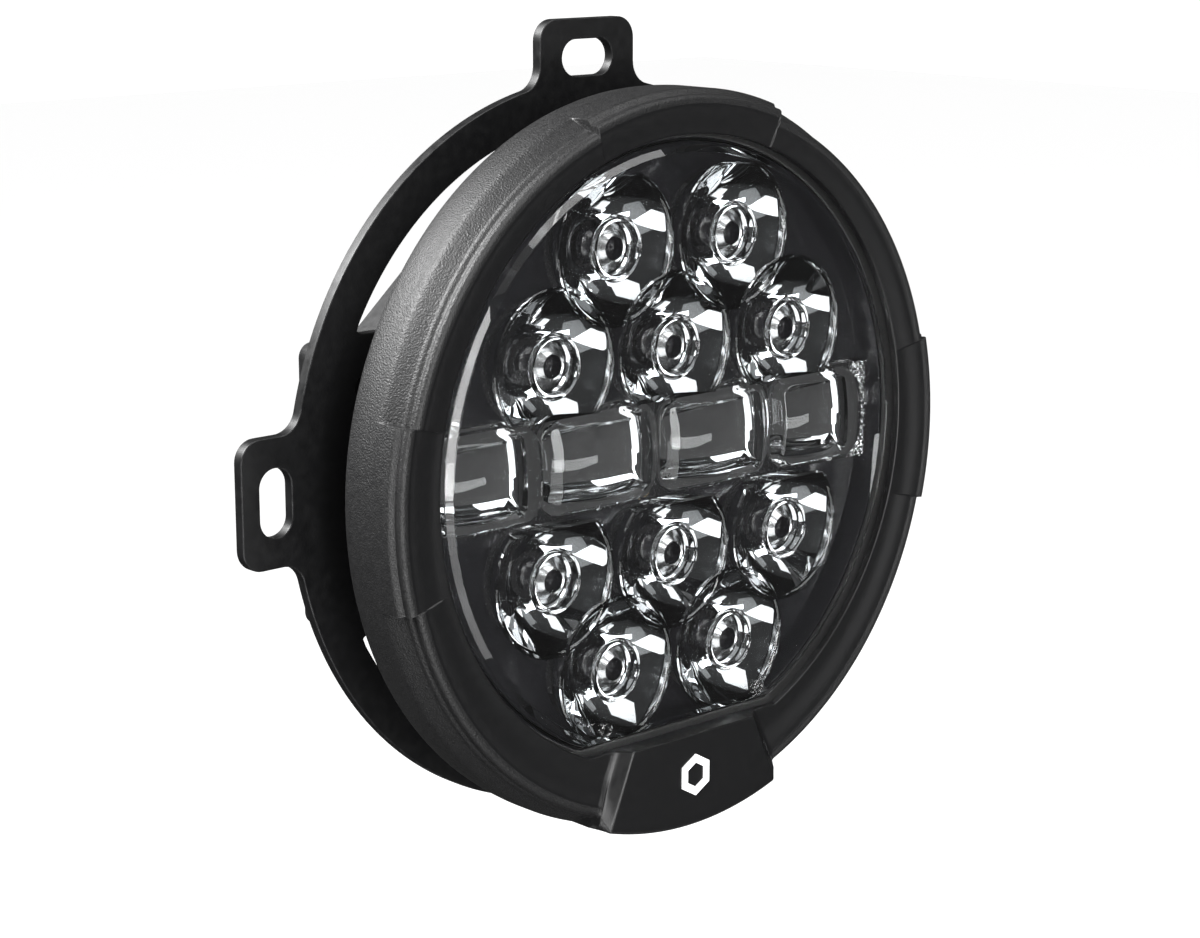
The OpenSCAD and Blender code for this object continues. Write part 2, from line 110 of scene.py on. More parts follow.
class Finish:
    """A procedural material: one Principled shader, with nodes for its colour, roughness and bump."""

    def __init__(self, name, color, roughness, **sockets):
        self.material = bpy.data.materials.new(name)
        self.material.use_nodes = True
        self.tree = self.material.node_tree
        self.shader = self.tree.nodes["Principled BSDF"]
        self.shader.inputs["Base Color"].default_value = (*color, 1)
        self.shader.inputs["Roughness"].default_value = roughness
        for socket, value in sockets.items():
            self.shader.inputs[socket.replace("_", " ")].default_value = value
        self.coords = self.node("ShaderNodeTexCoord").outputs["Object"]
        self.normal = None

    def node(self, kind, **values):
        made = self.tree.nodes.new(kind)
        for name, value in values.items():
            setattr(made, name, value)
        return made

    def link(self, source, target):
        self.tree.links.new(source, target)

    def noise(self, scale, detail=3.0, roughness=0.5, stretch=(1, 1, 1)):
        """Noise with about scale cells per metre."""
        mapping = self.node("ShaderNodeMapping")
        mapping.inputs["Scale"].default_value = stretch
        self.link(self.coords, mapping.inputs["Vector"])
        made = self.node("ShaderNodeTexNoise")
        made.inputs["Scale"].default_value = scale
        made.inputs["Detail"].default_value = detail
        made.inputs["Roughness"].default_value = roughness
        self.link(mapping.outputs["Vector"], made.inputs["Vector"])
        return made.outputs["Fac"]

    def cells(self, scale):
        made = self.node("ShaderNodeTexVoronoi")
        made.inputs["Scale"].default_value = scale
        self.link(self.coords, made.inputs["Vector"])
        return made.outputs["Distance"]

    def span(self, value, low, high, to_low, to_high):
        """value mapped from low..high to to_low..to_high."""
        made = self.node("ShaderNodeMapRange")
        for socket, number in zip(made.inputs[1:5], (low, high, to_low, to_high)):
            socket.default_value = number
        self.link(value, made.inputs["Value"])
        return made.outputs["Result"]

    def tint(self, mask, color):
        """Lays color over the base colour where mask is 1."""
        mix = self.node("ShaderNodeMix", data_type="RGBA")
        mix.inputs["A"].default_value = self.shader.inputs["Base Color"].default_value
        mix.inputs["B"].default_value = (*color, 1)
        self.link(mask, mix.inputs["Factor"])
        self.link(mix.outputs["Result"], self.shader.inputs["Base Color"])

    def roughen(self, value, low, high, to_low, to_high):
        self.link(self.span(value, low, high, to_low, to_high), self.shader.inputs["Roughness"])

    def bump(self, height, depth_mm, strength=1.0):
        made = self.node("ShaderNodeBump")
        made.inputs["Strength"].default_value = strength
        made.inputs["Distance"].default_value = depth_mm * MM
        self.link(height, made.inputs["Height"])
        if self.normal is not None:
            self.link(self.normal, made.inputs["Normal"])
        self.normal = made.outputs["Normal"]
        self.link(self.normal, self.shader.inputs["Normal"])

    def edges(self, width_mm, amount):
        """A mask that is high within width_mm of an edge, broken up by noise."""
        bevel = self.node("ShaderNodeBevel", samples=4)
        bevel.inputs["Radius"].default_value = width_mm * MM
        geometry = self.node("ShaderNodeNewGeometry")
        dot = self.node("ShaderNodeVectorMath", operation="DOT_PRODUCT")
        self.link(bevel.outputs["Normal"], dot.inputs[0])
        self.link(geometry.outputs["Normal"], dot.inputs[1])
        wear = self.span(dot.outputs["Value"], 0.99, 0.80, 0.0, 1.0)
        scuffs = self.span(self.noise(420, 5.0, 0.65), 0.40, 0.62, 0.0, amount)
        both = self.node("ShaderNodeMath", operation="MULTIPLY")
        self.link(wear, both.inputs[0])
        self.link(scuffs, both.inputs[1])
        return both.outputs["Value"]


def grained_plastic():
    made = Finish("bezel_grain", (0.006, 0.006, 0.0063), 0.46, Specular_IOR_Level=0.5)
    made.tint(made.edges(0.5, 0.5), (0.050, 0.050, 0.052))
    made.roughen(made.noise(900, 4.0), 0.3, 0.7, 0.40, 0.54)
    made.bump(made.noise(2700, 2.0, 0.5), 0.16, 1.0)
    made.bump(made.cells(3200), 0.02, 0.3)
    return made.material


def satin_plastic():
    made = Finish("bezel_satin", (0.004, 0.004, 0.0043), 0.42, Specular_IOR_Level=0.4)
    made.tint(made.edges(0.3, 0.4), (0.035, 0.035, 0.037))
    made.roughen(made.noise(700, 4.0), 0.3, 0.7, 0.28, 0.38)
    made.bump(made.noise(3600, 2.0, 0.5), 0.02, 0.35)
    return made.material


def powder_coat():
    made = Finish("plate_powder_coat", (0.003, 0.003, 0.0033), 0.40, Specular_IOR_Level=0.4)
    made.tint(made.edges(0.35, 0.8), (0.07, 0.07, 0.072))
    made.roughen(made.noise(500, 5.0), 0.3, 0.7, 0.34, 0.50)
    made.bump(made.noise(1100, 2.0, 0.4), 0.05, 0.30)
    return made.material


def cast_coat():
    made = Finish("cast_coat", (0.006, 0.006, 0.0064), 0.55, Specular_IOR_Level=0.3)
    made.tint(made.edges(0.5, 0.6), (0.05, 0.05, 0.052))
    made.roughen(made.noise(650, 4.0), 0.3, 0.7, 0.46, 0.66)
    made.bump(made.noise(1500, 4.0, 0.6), 0.09, 0.6)
    made.bump(made.noise(160, 2.0), 0.12, 0.25)
    return made.material


def zinc(name, color, stain):
    made = Finish(name, color, 0.30, Metallic=1.0)
    made.tint(made.span(made.noise(300, 4.0), 0.4, 0.7, 0.0, 0.6), stain)
    made.roughen(made.noise(1800, 4.0), 0.3, 0.7, 0.22, 0.42)
    made.bump(made.noise(2200, 3.0), 0.02, 0.3)
    return made.material


def brass():
    made = Finish("turned_brass", (0.70, 0.50, 0.22), 0.28, Metallic=1.0)
    made.tint(made.span(made.noise(500, 4.0), 0.45, 0.75, 0.0, 0.5), (0.42, 0.27, 0.12))
    made.roughen(made.noise(1500, 3.0), 0.3, 0.7, 0.22, 0.40)
    made.bump(made.noise(2500, 2.0, 0.5, (1, 6, 1)), 0.02, 0.3)
    return made.material


def moulded(name, color, roughness, grain_mm, edge_color, **sockets):
    """A plain moulded plastic or rubber with a fine surface."""
    made = Finish(name, color, roughness, **sockets)
    made.tint(made.edges(0.3, 0.5), edge_color)
    made.roughen(made.noise(800, 4.0), 0.3, 0.7, roughness * 0.85, min(1.0, roughness * 1.2))
    made.bump(made.noise(2400, 3.0), grain_mm, 0.5)
    return made.material


def circuit_board(name, color, track_color, roughness):
    """Solder mask with faint tracks under it."""
    made = Finish(name, color, roughness, Coat_Weight=0.3)
    tracks = made.node("ShaderNodeTexBrick", offset=0.5)
    tracks.inputs["Scale"].default_value = 260.0
    tracks.inputs["Mortar Size"].default_value = 0.03
    made.link(made.coords, tracks.inputs["Vector"])
    made.tint(made.span(tracks.outputs["Fac"], 0.0, 1.0, 0.0, 0.7), track_color)
    made.roughen(made.noise(900, 3.0), 0.3, 0.7, roughness * 0.8, roughness * 1.25)
    made.bump(tracks.outputs["Fac"], 0.03, 0.4)
    return made.material


def clear_plastic(name, color, ior):
    """Clear polycarbonate with a polished face."""
    return Finish(name, color, 0.0, Transmission_Weight=1.0, IOR=ior).material


def mirror(name, color, roughness):
    """Stands for a face of the clear optics that mirrors by total internal reflection."""
    return Finish(name, color, roughness, Metallic=1.0).material


def phosphor():
    made = Finish("led_phosphor", (0.55, 0.50, 0.30), 0.25, Coat_Weight=0.6)
    made.tint(made.span(made.noise(2600, 3.0), 0.4, 0.7, 0.0, 0.6), (0.62, 0.56, 0.36))
    made.bump(made.noise(3000, 2.0), 0.01, 0.4)
    return made.material


GRAIN = grained_plastic()
SATIN = satin_plastic()
POWDER = powder_coat()
CAST = cast_coat()
ZINC = zinc("zinc_plate", (0.60, 0.61, 0.63), (0.72, 0.70, 0.62))
DARK_ZINC = zinc("black_zinc_plate", (0.045, 0.045, 0.047), (0.07, 0.068, 0.06))
BRASS = brass()
NYLON = moulded("nylon_natural", (0.62, 0.58, 0.48), 0.45, 0.02, (0.70, 0.66, 0.56))
RUBBER = moulded("silicone_black", (0.014, 0.014, 0.014), 0.62, 0.04, (0.03, 0.03, 0.03))
TRIM = moulded("trim_gloss_black", (0.008, 0.008, 0.009), 0.16, 0.004, (0.02, 0.02, 0.022))
WHITE = moulded("badge_white_paint", (0.82, 0.82, 0.82), 0.38, 0.01, (0.70, 0.70, 0.70))
CERAMIC = moulded("led_ceramic", (0.10, 0.10, 0.10), 0.30, 0.01, (0.2, 0.2, 0.2))
PAD = moulded("gap_pad_grey", (0.40, 0.41, 0.43), 0.7, 0.05, (0.45, 0.46, 0.48))
FERRITE = moulded("ferrite_dark", (0.05, 0.05, 0.055), 0.5, 0.04, (0.12, 0.12, 0.12))
SLEEVE = moulded("capacitor_blue", (0.04, 0.07, 0.18), 0.25, 0.01, (0.08, 0.12, 0.26))
GLAND = moulded("gland_nylon", (0.018, 0.018, 0.019), 0.42, 0.03, (0.05, 0.05, 0.052))
BOARD_BLACK = circuit_board("board_solder_mask", (0.012, 0.012, 0.013), (0.02, 0.02, 0.021), 0.25)
BOARD_GREEN = circuit_board("board_green", (0.02, 0.13, 0.05), (0.05, 0.24, 0.10), 0.3)
PHOSPHOR = phosphor()
LENS_CLEAR = clear_plastic("lens_polycarbonate", (0.97, 0.98, 0.98), 1.5)
OPTIC_MIRROR = mirror("optic_flank", (0.75, 0.76, 0.77), 0.02)
OPTIC_CLEAR = clear_plastic("optic_polycarbonate", (0.98, 0.985, 0.99), 1.52)
OPTIC_FLOOR = moulded("optic_floor", (0.016, 0.016, 0.0165), 0.5, 0.01, (0.05, 0.05, 0.05))
OPTIC_DOME = mirror("optic_dome", (0.42, 0.425, 0.43), 0.20)

# The materials of the optics, and the number of each on their faces.
OPTIC_MATERIALS = [OPTIC_CLEAR, OPTIC_MIRROR, TRIM, OPTIC_FLOOR, OPTIC_DOME]
CLEAR, MIRROR, DARK, FLOOR, DOME = range(len(OPTIC_MATERIALS))


# ---- Mesh helpers ----


def settle(name, mesh, materials, body, replaced, sharp_deg=32.0):
    """Makes the finished piece from a mesh, rides it on its body and hides the CAD nodes it replaces."""
    if not mesh.materials:
        for material in materials:
            mesh.materials.append(material)
    mesh.polygons.foreach_set("use_smooth", [True] * len(mesh.polygons))
    mesh.set_sharp_from_angle(angle=math.radians(sharp_deg))
    piece = bpy.data.objects.new(name, mesh)
    bpy.context.scene.collection.objects.link(piece)
    weighted = piece.modifiers.new("flat faces stay flat", "WEIGHTED_NORMAL")
    weighted.keep_sharp = True
    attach(piece, body)
    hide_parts(*replaced)
    return piece


def mesh_from(bm, name):
    bmesh.ops.remove_doubles(bm, verts=bm.verts, dist=1e-7)
    bmesh.ops.recalc_face_normals(bm, faces=bm.faces)
    mesh = bpy.data.meshes.new(name)
    bm.to_mesh(mesh)
    bm.free()
    return mesh


def loft(bm, loops, material_of=None, closed=False):
    """Joins rings of as many points each. The first and last are joined too if closed, and capped if not."""
    rings = [[bm.verts.new(p) for p in loop] for loop in loops]
    pairs = list(zip(rings, rings[1:] + rings[:1])) if closed else list(zip(rings, rings[1:]))
    for row, (a, b) in enumerate(pairs):
        for i in range(len(a)):
            j = (i + 1) % len(a)
            face = bm.faces.new((a[i], a[j], b[j], b[i]))
            face.material_index = material_of(row) if material_of else 0
    if not closed:
        bm.faces.new(reversed(rings[0]))
        bm.faces.new(rings[-1])


def turned(bm, profile, centre, steps, material_of=None):
    """A solid of revolution from (radius, f) points; a radius of 0 at an end closes it in a point."""
    angles = [2 * math.pi * i / steps for i in range(steps)]
    rings = []
    for radius, f in profile:
        if radius == 0:
            rings.append([bm.verts.new(place(centre[0], centre[1], f))])
            continue
        rings.append([
            bm.verts.new(place(centre[0] + radius * math.cos(a), centre[1] + radius * math.sin(a), f))
            for a in angles
        ])
    for row, (a, b) in enumerate(zip(rings, rings[1:])):
        for i in range(steps):
            j = (i + 1) % steps
            if len(a) == 1:
                face = bm.faces.new((a[0], b[j], b[i]))
            elif len(b) == 1:
                face = bm.faces.new((a[i], a[j], b[0]))
            else:
                face = bm.faces.new((a[i], a[j], b[j], b[i]))
            face.material_index = material_of(row) if material_of else 0


def arc(x, y, radius, start_deg, end_deg, steps):
    """Points on an arc, both ends included."""
    angles = [math.radians(start_deg + (end_deg - start_deg) * i / steps) for i in range(steps + 1)]
    return [(x + radius * math.cos(a), y + radius * math.sin(a)) for a in angles]


def turn(points, degrees):
    c, s = math.cos(math.radians(degrees)), math.sin(math.radians(degrees))
    return [(c * x - s * y, s * x + c * y) for x, y in points]


def scratch_object(mesh):
    made = bpy.data.objects.new(mesh.name, mesh)
    bpy.context.scene.collection.objects.link(made)
    return made


def evaluated_mesh(obj, name):
    """The mesh of obj with its modifiers applied. obj itself is removed."""
    graph = bpy.context.evaluated_depsgraph_get()
    mesh = bpy.data.meshes.new_from_object(obj.evaluated_get(graph))
    mesh.name = name
    bpy.data.objects.remove(obj, do_unlink=True)
    return mesh


def combined(base, others, operation, name):
    """The exact boolean of base with each of the others, as a mesh."""
    body = scratch_object(base)
    tools = [scratch_object(mesh) for mesh in others]
    for tool in tools:
        modifier = body.modifiers.new("combine", "BOOLEAN")
        modifier.operation = operation
        modifier.object = tool
        modifier.solver = "EXACT"
    mesh = evaluated_mesh(body, name)
    for tool in tools:
        bpy.data.objects.remove(tool, do_unlink=True)
    return mesh


def slab(name, outlines, back, front, edge):
    """Flat sheet with rounded edges: outlines[0] is its outside and the others are holes."""
    curve = bpy.data.curves.new(name, "CURVE")
    curve.dimensions = "2D"
    curve.fill_mode = "BOTH"
    curve.extrude = (front - back) / 2 * MM - edge * MM
    curve.bevel_depth = edge * MM
    curve.bevel_resolution = 2
    curve.offset = -edge * MM
    for outline in outlines:
        spline = curve.splines.new("POLY")
        spline.points.add(len(outline) - 1)
        for point, (x, z) in zip(spline.points, outline):
            point.co = (x * MM, z * MM, 0, 1)
        spline.use_cyclic_u = True
    mesh = evaluated_mesh(scratch_object(curve), name)
    to_front = Matrix(((1, 0, 0, 0), (0, 0, -1, -(front + back) / 2 * MM), (0, 1, 0, 0), (0, 0, 0, 1)))
    mesh.transform(to_front)
    bm = bmesh.new()
    bm.from_mesh(mesh)
    bpy.data.meshes.remove(mesh)
    bmesh.ops.remove_doubles(bm, verts=bm.verts, dist=2e-6)
    return mesh_from(bm, name)


# ---- Mounting plate ----


def plate_outside():
    """The ring's outside with its three tabs, counter-clockwise."""
    root, corner = 5.0, 4.5
    cy = TAB_HALF + root
    cx = math.sqrt((PLATE_R + root) ** 2 - cy * cy)
    lead = math.degrees(math.atan2(cy, cx))
    tab = (
        arc(cx, -cy, root, 180 - lead, 90, 10)
        + arc(PLATE_REACH - corner, -TAB_HALF + corner, corner, -90, 0, 10)
        + arc(PLATE_REACH - corner, TAB_HALF - corner, corner, 0, 90, 10)
        + arc(cx, cy, root, 270, 180 + lead, 10)
    )
    outline = []
    step_deg = 1.5
    for tab_at, next_tab in ((0, 90), (90, 180), (180, 360)):
        outline += turn(tab, tab_at)
        ring_end = next_tab - lead
        steps = int((ring_end - tab_at - lead) / step_deg)
        outline += arc(0, 0, PLATE_R, tab_at + lead, ring_end, steps)[1:-1]
    return outline


def window_edge():
    """The window inside the ring, with a land reaching in at each side."""
    top = math.degrees(math.asin(LAND[1] / WINDOW_R))
    x_ring = WINDOW_R * math.cos(math.radians(top))
    corner, inner = 2.0, 1.0
    half = (
        arc(0, 0, WINDOW_R, top + 2, 178 - top, 84)
        + arc(-x_ring + corner, LAND[1] + corner, corner, 200, 270, 6)[2:]
        + arc(-LAND[0] - inner, LAND[1] - inner, inner, 90, 0, 5)
        + arc(-LAND[0] - inner, -LAND[1] + inner, inner, 0, -90, 5)
        + arc(-x_ring + corner, -LAND[1] - corner, corner, 90, 160, 6)[:-2]
    )
    return half + turn(half, 180)


def mounting_plate():
    at, half_w, half_l = SLOT
    slot = arc(at, half_l, half_w, 0, 180, 20) + arc(at, -half_l, half_w, 180, 360, 20)
    holes = [turn(slot, a) for a in (0, 90, 180)]
    for x in (-1, 1):
        for z in (-1, 1):
            holes.append(arc(x * BRACKET_SCREW[0], z * BRACKET_SCREW[1], 2.5, 0, 354, 59))
    mesh = slab("plate", [plate_outside(), window_edge()] + holes, 0, PLATE_T, 0.3)
    settle("plate", mesh, [POWDER], "mount", ["mounting_plate"], 25)


# ---- Bezel ----


def opening_reach(angle_deg, inset):
    """Distance from the lamp axis to the lens outline, inset by so much, in a direction."""
    s, c = math.sin(math.radians(angle_deg)), math.cos(math.radians(angle_deg))
    radius = LENS_R - inset
    reach = OPTIC_LIFT * s + math.sqrt(radius * radius - (OPTIC_LIFT * c) ** 2)
    flat = LENS_FLAT + inset
    return min(reach, flat / s) if s < -0.5 else reach


def smooth(t):
    t = min(1.0, max(0.0, t))
    return t * t * (3 - 2 * t)


def smooth_end(t):
    """0 before 0, then rising to 1 at 1, with a rounded start."""
    t = min(1.0, max(0.0, t))
    return t * t * 1.6 if t < 0.3125 else t * 1.2273 - 0.2273


def soft_ramp(s, top=0.10, foot=0.38):
    """1 before 0 and 0 after 1, with a rounded edge at the top and a wider fillet at the foot."""
    if s <= -top:
        return 1.0
    if s < top:
        return 1 - (s + top) ** 2 / (4 * top)
    if s <= 1 - foot:
        return 1 - s
    if s < 1 + foot:
        return (1 + foot - s) ** 2 / (4 * foot)
    return 0.0


BADGE_EDGE, BADGE_FOOT = 18.3, 20.3  # degrees from straight down, where the flank meets the outer wall
BADGE_INNER = [(0.0, 0.0), (BADGE_EDGE, 17.7), (BADGE_FOOT, 20.6)]  # the same lines' x at the opening
PAD_HALF = {0: 14.0, 90: 20.0, 180: 14.0, 270: 20.0}  # degrees: each pad's middle, and half its width
PAD_END = 0.22  # degrees over which a pad's end rises
OPENING_ROUND = 0.30  # radius of the opening's front edge
RING_DIP, RING_DIP_WIDTH = 0.65, 6.0  # how far the ring's face falls towards the opening, and over what width
BEAD_R, BADGE_ROUND = 1.15, 0.60  # radius of the bead at the ring's outer edge, and of the badge's outer edge
BEAD_RISE, BEAD_FOOT = 0.3, 1.5  # how far the ring's face rises to the bead, and over what width
BEAD_UNDERCUT = 0.12  # depth of the groove under the bead
LEDGE_OUT, PAD_LEDGE_OUT = 0.6, 1.1  # how far the wall stands out from the bead between the pads and on them
SATIN_ROWS = 19  # strips of the bezel from the lens to halfway up the bead's foot
TAPER_F, WALL_FRONT = 26.0, 30.6  # between the pads, the wall tapers in from the first f to the second
SKIRT_R = BEZEL_R - 2.5  # inside of the wall
# Rows from the bead to the wall: how far down each is, and what share of the way out.
LEDGE = [(0.35, 0.0), (0.8, 0.0), (1.05, 0.12), (1.25, 0.40), (1.45, 0.68), (1.75, 0.92), (2.1, 1.0)]
# Rows down the wall and round its back edge: f, and how far in from the wall's radius.
WALL = [(f, 0.0) for f in (WALL_FRONT, 30.0, 29.0, 28.0, 27.2, 26.6, 26.0, 25.0, 23.5, 22.0)]
WALL += [(20.5, 0.1), (19.0, 0.28), (18.2, 0.42)]
WALL += [(BEZEL_BACK + 0.1, 0.62), (BEZEL_BACK, 0.95), (BEZEL_BACK, 2.0)]


def opening_corner():
    """The corner where the opening's flat meets its arc: degrees from straight down, and x."""
    x = math.sqrt((LENS_R - OPENING) ** 2 - (LENS_FLAT + OPENING - OPTIC_LIFT) ** 2)
    return 90 + math.degrees(math.atan2(LENS_FLAT + OPENING, x)), x


def bezel_columns():
    """Polar angles of the bezel's columns, close together wherever its shape changes fast."""
    fine = set(range(360))
    for middle, half in PAD_HALF.items():
        for side in (-1, 1):
            edge = middle + side * half
            for step in (0.06, 0.12, 0.2, 0.3, 0.45, 0.7, 1.5, 2.5):
                fine.add(round(edge + step, 3) % 360)
                fine.add(round(edge - step, 3) % 360)
    flank = BADGE_FOOT - BADGE_EDGE
    for side in (-1, 1):
        for i in range(-12, 34):
            fine.add(round(270 + side * (BADGE_EDGE + flank * i / 20), 3))
        fine.add(round((270 + side * opening_corner()[0]) % 360, 3))
    return sorted(fine)


def opening_point(angle):
    """Where a column starts, on the edge of the opening."""
    below = angle - 270
    keys = BADGE_INNER + [opening_corner()]
    if abs(below) < keys[-1][0]:
        for (a0, x0), (a1, x1) in zip(keys, keys[1:]):
            if abs(below) <= a1:
                x = x0 + (x1 - x0) * (abs(below) - a0) / (a1 - a0)
                return math.copysign(x, below), LENS_FLAT + OPENING
    reach = opening_reach(angle, OPENING)
    return reach * math.cos(math.radians(angle)), reach * math.sin(math.radians(angle))


def pad_share(angle):
    """1 on a pad and 0 between pads."""
    share = 0.0
    for middle, half in PAD_HALF.items():
        away = abs((angle - middle + 180) % 360 - 180)
        share = max(share, smooth((half - away) / PAD_END + 0.5))
    return share


def bezel_column(angle):
    """Points of one column, once round the bezel's closed section, from the opening outwards."""
    c, s = math.cos(math.radians(angle)), math.sin(math.radians(angle))
    badge = soft_ramp((abs(angle - 270) - BADGE_EDGE) / (BADGE_FOOT - BADGE_EDGE))
    share = pad_share(angle)
    top = RING_F + (BADGE_F - RING_F) * badge
    front_r = BEZEL_R + (PAD_R - BEZEL_R) * share
    bead = BEAD_R + (BADGE_ROUND - BEAD_R) * badge
    ledge = (LEDGE_OUT + (PAD_LEDGE_OUT - LEDGE_OUT) * share) * (1 - badge)
    bead_at = front_r - ledge - bead
    ring_end = bead_at - BEAD_FOOT * (1 - badge)
    start = opening_point(angle)

    def ring_f(x, z):
        inward = min(1.0, max(0.0, (ring_end - math.hypot(x, z)) / RING_DIP_WIDTH))
        return top - (BEAD_RISE + RING_DIP * smooth(inward)) * (1 - badge)

    end = (ring_end * c, ring_end * s)
    points = [(*start, LIP_F)]
    edge_f = ring_f(*start)
    round_f = edge_f - OPENING_ROUND
    points += [(*start, LIP_F + 0.5), (*start, round_f)]
    inset = Vector(end) - Vector(start)
    step = inset.normalized()
    for k in (30, 60):
        out = OPENING_ROUND * (1 - math.cos(math.radians(k)))
        f = round_f + OPENING_ROUND * math.sin(math.radians(k))
        points.append((start[0] + step.x * out, start[1] + step.y * out, f))
    first = OPENING_ROUND / inset.length
    for k in range(13):
        t = first + (1 - first) * k / 12
        x, z = start[0] + inset.x * t, start[1] + inset.y * t
        points.append((x, z, ring_f(x, z)))
    rise = BEAD_RISE * (1 - badge)
    for t in (0.25, 0.5, 0.75):
        q = ring_end + (bead_at - ring_end) * t
        points.append((q * c, q * s, top - rise * (1 - smooth(t))))
    for k in range(9):
        a = math.radians(90 * k / 8)
        q = bead_at + bead * math.sin(a)
        points.append((q * c, q * s, top - bead + bead * math.cos(a)))
    undercut = BEAD_UNDERCUT * (1 - badge)
    for down, t in LEDGE:
        q = bead_at + bead - undercut * (t == 0) + ledge * t
        points.append((q * c, q * s, top - bead - down))
    for f, cut in WALL:
        in_to_front = (PAD_R - front_r) * smooth_end((f - TAPER_F) / (WALL_FRONT - TAPER_F))
        q = PAD_R - in_to_front - cut
        points.append((q * c, q * s, f))
    points += [(SKIRT_R * c, SKIRT_R * s, BEZEL_BACK + 0.3), (SKIRT_R * c, SKIRT_R * s, LIP_F)]
    return points


def bezel():
    angles = bezel_columns()
    columns = [bezel_column(a) for a in angles]
    rows = len(columns[0])
    loops = [[place(*column[row]) for column in columns] for row in range(rows)]
    bm = bmesh.new()
    loft(bm, loops, material_of=lambda row: 1 if row < SATIN_ROWS else 0, closed=True)
    settle("bezel_ring", mesh_from(bm, "bezel_ring"), [GRAIN, SATIN], "lamp", ["bezel"], 40)


def emblem():
    """A plain six-sided ring with rounded edges."""
    box = front_box("emblem")
    middle, radius = (box[2] + box[3]) / 2, (box[3] - box[2]) / 2
    hole = 0.587  # size of the hole, as a share of the outside
    corners = [math.radians(60 * k) for k in range(6)]
    outside = [(radius * math.sin(a), middle + radius * math.cos(a)) for a in corners]
    inside = [(x * hole, middle + (z - middle) * hole) for x, z in outside]
    mesh = slab("emblem_ring", [outside, inside], box[4] - 0.1, box[5], 0.08)
    settle("emblem_ring", mesh, [WHITE], "lamp", ["emblem"], 25)


# ---- Lens ----


def lens_loop(inset, arc_steps=220, flat_steps=50):
    """The lens outline, inset by so much: an arc from corner to corner, and the flat."""
    radius = LENS_R - inset
    drop = LENS_FLAT + inset - OPTIC_LIFT
    corner = math.degrees(math.asin(drop / radius))
    points = arc(0, OPTIC_LIFT, radius, corner, 180 - corner, arc_steps)
    half = radius * math.cos(math.radians(corner))
    points += [(-half + 2 * half * i / flat_steps, LENS_FLAT + inset) for i in range(1, flat_steps)]
    return points


MARK_X, MARK_Z = 22.5, -52.6  # the two small raised rings on the lens's front


def lens():
    """A slab with a rim behind, a flange under the bezel's lip, a slanting shoulder and two raised rings."""
    step, front = LENS_STEP, LENS_TOP
    section = [(4.2, LENS_BACK + 0.9), (3.9, LENS_BACK + 0.9), (3.6, LENS_BACK + 0.8)]
    section += [(3.3, LENS_BACK + 0.45), (3.1, LENS_BACK), (0.3, LENS_BACK), (0.0, LENS_BACK + 0.3)]
    section += [(0.0, LIP_F - 0.3), (0.3, LIP_F), (step - 0.9, LIP_F), (step - 0.7, LIP_F + 0.12)]
    section += [(step + 0.5, front - 0.12), (step + 0.75, front), (step + 0.9, front)]
    bm = bmesh.new()
    loft(bm, [[place(x, z, f) for x, z in lens_loop(inset)] for inset, f in section])
    ring = [(0.9, front - 0.4), (0.9, front + 0.25), (1.05, front + 0.38), (1.4, front + 0.38)]
    ring += [(1.55, front + 0.25), (1.55, front - 0.4), (0.9, front - 0.4)]
    for x in (-MARK_X, MARK_X):
        turned(bm, ring, (x, MARK_Z), 40)
    mesh = mesh_from(bm, "front_lens")
    piece = settle("front_lens", mesh, [LENS_CLEAR], "lamp", ["outer_lens"])
    piece.visible_shadow = False


# ---- Optics ----


def cup_section():
    """Section of one clear cup, as (radius, f) points and the number of the material after each point.

    It runs from the LED's pocket out along the flank to the rim, and in over the face to the dark middle.
    """
    base, rim_f = OPTIC_BASE, OPTIC_FRONT
    front = OPTIC_FRONT - 0.5
    pocket = [(0, base + 3.0), (1.2, base + 2.9), (2.4, base + 2.6), (3.3, base + 2.2)]
    pocket += [(3.4, base + 1.2), (3.4, base + 0.1), (3.5, base)]
    flank = [(4.9, base)]
    steps = 26
    for i in range(steps):
        t = i / steps
        flank.append((CUP_BASE_R + (CUP_R - CUP_BASE_R) * t ** 0.72, base + 0.1 + (rim_f - base - 0.9) * t))
    flank.append((CUP_R, rim_f - 0.8))
    rim = [(CUP_R, rim_f - 0.25), (CUP_R - 0.25, rim_f), (CUP_R - 0.8, rim_f), (CUP_R - 1.1, rim_f - 0.3)]
    face = [(CUP_R - 1.5, front), (10.5, front), (7.2, front)]
    groove = [(6.9, front - 0.1), (6.75, front - 0.4), (6.6, front - 1.6)]
    groove += [(6.4, front - 1.9), (6.2, front - 1.6)]
    lip = [(6.1, front + 0.1), (6.0, front + 0.3), (5.8, front + 0.38), (5.6, front + 0.3)]
    well = [(5.5, front - 2.6), (5.45, front - 2.9)]
    dome = [(5.4 - 2.7 * t, front - 2.9 + 2.6 * t) for t in (0, 0.06, 0.3, 0.5, 0.7, 0.94, 1.0)]
    hole = [(2.4, front - 0.5), (2.3, front - 0.9), (2.2, front - 3.0), (0, front - 3.2)]
    stretches = [(pocket, DARK), (flank, MIRROR), (rim + face + groove + lip, CLEAR)]
    stretches += [(well, DARK), (dome, DOME), (hole, DARK)]
    points, materials = [], []
    for stretch, material in stretches:
        points += stretch
        materials += [material] * len(stretch)
    return points, materials


def block_mesh(x0, x1, z0, z1, f0, f1, name):
    corners = ((x0, z0), (x1, z0), (x1, z1), (x0, z1))
    bm = bmesh.new()
    loft(bm, [[place(x, z, f) for x, z in corners] for f in (f0, f1)])
    return mesh_from(bm, name)


